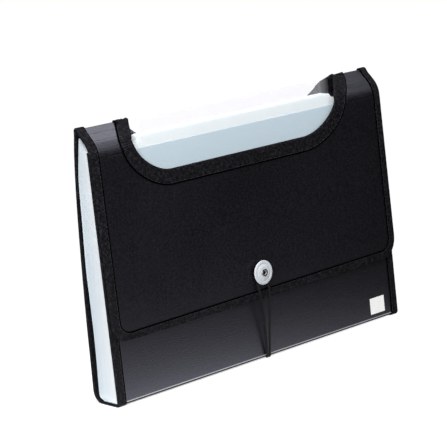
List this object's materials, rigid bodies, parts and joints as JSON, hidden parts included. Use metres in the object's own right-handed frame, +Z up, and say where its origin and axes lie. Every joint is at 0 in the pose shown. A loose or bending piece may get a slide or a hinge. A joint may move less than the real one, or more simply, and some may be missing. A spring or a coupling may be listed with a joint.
{
  "type": "document folder",
  "caption": "Free-standing black plastic document folder with taped edges, pleated sides, film dividers with clear index strips, and a fold-over flap held by an elastic loop on a button",
  "frame": {"origin": "centre of the bounding box's underside, on the surface that the folder stands on", "axes": "+X along the folder's width, to the right as seen from the front; +Y from the front to the back; +Z up"},
  "size_m": [0.33, 0.0384, 0.2225],
  "materials": {
    "cover_plastic": "fine-grained black plastic sheet",
    "binding_tape": "ribbed woven tape, stitched",
    "frosted_film": "frosted translucent film",
    "divider_film": "thin translucent film",
    "clear_film": "clear glossy film",
    "pleat_film": "creased translucent film",
    "button_plastic": "smooth pale plastic",
    "rivet_metal": "plain steel",
    "elastic_cord": "braided elastic cord",
    "label_paper": "blank white sticker"
  },
  "bodies": {
    "shell": {"base_panel": "cover_plastic", "back_panel": "cover_plastic", "base_tape_left": "binding_tape", "base_tape_right": "binding_tape", "back_tape_left": "binding_tape", "back_tape_right": "binding_tape", "pleats_left": "pleat_film", "pleats_right": "pleat_film"},
    "shoulder_band": {"shoulder_left": "cover_plastic", "shoulder_right": "cover_plastic", "shoulder_tape_left": "binding_tape", "shoulder_tape_right": "binding_tape", "window_tape_left": "binding_tape", "window_tape_right": "binding_tape"},
    "flap": {"flap_panel": "cover_plastic", "flap_tape": "binding_tape", "window_tape": "binding_tape", "button_disc": "button_plastic", "rivet": "rivet_metal", "rivet_washer": "rivet_metal"},
    "front_cover": {"front_panel": "cover_plastic", "front_tape_left": "binding_tape", "front_tape_right": "binding_tape", "front_film": "frosted_film", "blank_label": "label_paper", "elastic_clip": "rivet_metal"},
    "elastic": {"elastic_loop": "elastic_cord"},
    "pocket_01": {"divider_01": "divider_film", "index_strip_01": "clear_film"},
    "pocket_02": {"divider_02": "divider_film", "index_strip_02": "clear_film"},
    "pocket_03": {"divider_03": "divider_film", "index_strip_03": "clear_film"},
    "pocket_04": {"divider_04": "divider_film", "index_strip_04": "clear_film"},
    "pocket_05": {"divider_05": "divider_film", "index_strip_05": "clear_film"},
    "pocket_06": {"divider_06": "divider_film", "index_strip_06": "clear_film"},
    "pocket_07": {"divider_07": "divider_film", "index_strip_07": "clear_film"},
    "pocket_08": {"divider_08": "divider_film", "index_strip_08": "clear_film"},
    "pocket_09": {"divider_09": "divider_film", "index_strip_09": "clear_film"},
    "pocket_10": {"divider_10": "divider_film", "index_strip_10": "clear_film"},
    "pocket_11": {"divider_11": "divider_film", "index_strip_11": "clear_film"},
    "pocket_12": {"divider_12": "divider_film", "index_strip_12": "clear_film"}
  },
  "joints": [
    {"name": "flap_open", "type": "hinge", "parent": "shell", "child": "shoulder_band", "pos_m": [0, 0.00841, 0.2228], "axis": [-1, 0, 0], "range_deg": [0, 250]},
    {"name": "flap_crease", "type": "hinge", "parent": "shoulder_band", "child": "flap", "pos_m": [0, -0.00689, 0.2078], "axis": [-1, 0, 0], "range_deg": [0, 48]},
    {"name": "fan_12", "type": "hinge", "parent": "shell", "child": "pocket_12", "pos_m": [0, -0.00889, 0.0011], "axis": [1, 0, 0], "range_deg": [0, 1.4]},
    {"name": "fan_11", "type": "hinge", "parent": "pocket_12", "child": "pocket_11", "pos_m": [0, -0.00889, 0.0011], "axis": [1, 0, 0], "range_deg": [0, 1.4]},
    {"name": "fan_10", "type": "hinge", "parent": "pocket_11", "child": "pocket_10", "pos_m": [0, -0.00889, 0.0011], "axis": [1, 0, 0], "range_deg": [0, 1.4]},
    {"name": "fan_09", "type": "hinge", "parent": "pocket_10", "child": "pocket_09", "pos_m": [0, -0.00889, 0.0011], "axis": [1, 0, 0], "range_deg": [0, 1.4]},
    {"name": "fan_08", "type": "hinge", "parent": "pocket_09", "child": "pocket_08", "pos_m": [0, -0.00889, 0.0011], "axis": [1, 0, 0], "range_deg": [0, 1.4]},
    {"name": "fan_07", "type": "hinge", "parent": "pocket_08", "child": "pocket_07", "pos_m": [0, -0.00889, 0.0011], "axis": [1, 0, 0], "range_deg": [0, 1.4]},
    {"name": "fan_06", "type": "hinge", "parent": "pocket_07", "child": "pocket_06", "pos_m": [0, -0.00889, 0.0011], "axis": [1, 0, 0], "range_deg": [0, 1.4]},
    {"name": "fan_05", "type": "hinge", "parent": "pocket_06", "child": "pocket_05", "pos_m": [0, -0.00889, 0.0011], "axis": [1, 0, 0], "range_deg": [0, 1.4]},
    {"name": "fan_04", "type": "hinge", "parent": "pocket_05", "child": "pocket_04", "pos_m": [0, -0.00889, 0.0011], "axis": [1, 0, 0], "range_deg": [0, 1.4]},
    {"name": "fan_03", "type": "hinge", "parent": "pocket_04", "child": "pocket_03", "pos_m": [0, -0.00889, 0.0011], "axis": [1, 0, 0], "range_deg": [0, 1.4]},
    {"name": "fan_02", "type": "hinge", "parent": "pocket_03", "child": "pocket_02", "pos_m": [0, -0.00889, 0.0011], "axis": [1, 0, 0], "range_deg": [0, 1.4]},
    {"name": "fan_01", "type": "hinge", "parent": "pocket_02", "child": "pocket_01", "pos_m": [0, -0.00889, 0.0011], "axis": [1, 0, 0], "range_deg": [0, 1.4]},
    {"name": "fan_front", "type": "hinge", "parent": "pocket_01", "child": "front_cover", "pos_m": [0, -0.00889, 0.0011], "axis": [1, 0, 0], "range_deg": [0, 1.4], "deforming": ["pleats_left", "pleats_right"]},
    {"name": "elastic_release", "type": "hinge", "parent": "front_cover", "child": "elastic", "pos_m": [0.0004, -0.01269, 0.0022], "axis": [1, 0, 0], "range_deg": [0, 50], "deforming": ["elastic_loop"]}
  ],
  "couplings": [
    {"joint": "flap_crease", "follows": "flap_open", "ratio": 0.192},
    {"joint": "fan_12", "follows": "flap_open", "ratio": 0.005538},
    {"joint": "fan_11", "follows": "flap_open", "ratio": 0.005538},
    {"joint": "fan_10", "follows": "flap_open", "ratio": 0.005538},
    {"joint": "fan_09", "follows": "flap_open", "ratio": 0.005538},
    {"joint": "fan_08", "follows": "flap_open", "ratio": 0.005538},
    {"joint": "fan_07", "follows": "flap_open", "ratio": 0.005538},
    {"joint": "fan_06", "follows": "flap_open", "ratio": 0.005538},
    {"joint": "fan_05", "follows": "flap_open", "ratio": 0.005538},
    {"joint": "fan_04", "follows": "flap_open", "ratio": 0.005538},
    {"joint": "fan_03", "follows": "flap_open", "ratio": 0.005538},
    {"joint": "fan_02", "follows": "flap_open", "ratio": 0.005538},
    {"joint": "fan_01", "follows": "flap_open", "ratio": 0.005538},
    {"joint": "fan_front", "follows": "flap_open", "ratio": 0.005538}
  ]
}
